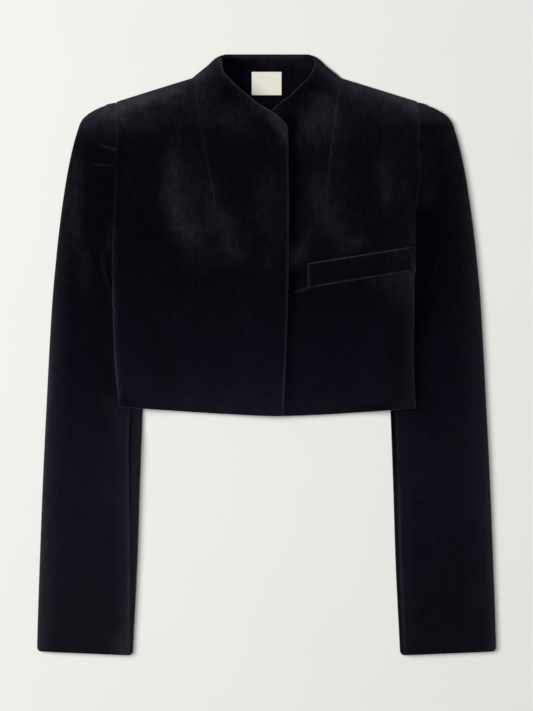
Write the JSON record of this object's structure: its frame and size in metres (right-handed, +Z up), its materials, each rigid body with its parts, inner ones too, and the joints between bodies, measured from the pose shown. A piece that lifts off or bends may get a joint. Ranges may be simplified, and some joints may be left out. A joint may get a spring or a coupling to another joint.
{
  "type": "cropped velvet jacket",
  "caption": "Cropped black velvet jacket laid flat, front up: stand neckline, lapped front, slanting breast welt and long two-piece sleeves tucked under its sides.",
  "frame": {"origin": "middle of the jacket's outline, on the surface that it lies on", "axes": "+Z up from that surface, +Y towards the collar, +X towards the wearer's left sleeve"},
  "size_m": [0.584, 0.7641, 0.0193],
  "materials": {
    "velvet": "black velvet with a short pile, dark head on and with a soft grey sheen along folds and edges",
    "label": "cream woven label, blank"
  },
  "bodies": {
    "root": {"back": "velvet", "front_right": "velvet", "front_left": "velvet", "upper_sleeve_right": "velvet", "under_sleeve_right": "velvet", "upper_sleeve_left": "velvet", "under_sleeve_left": "velvet", "welt": "velvet", "label": "label"}
  },
  "joints": []
}
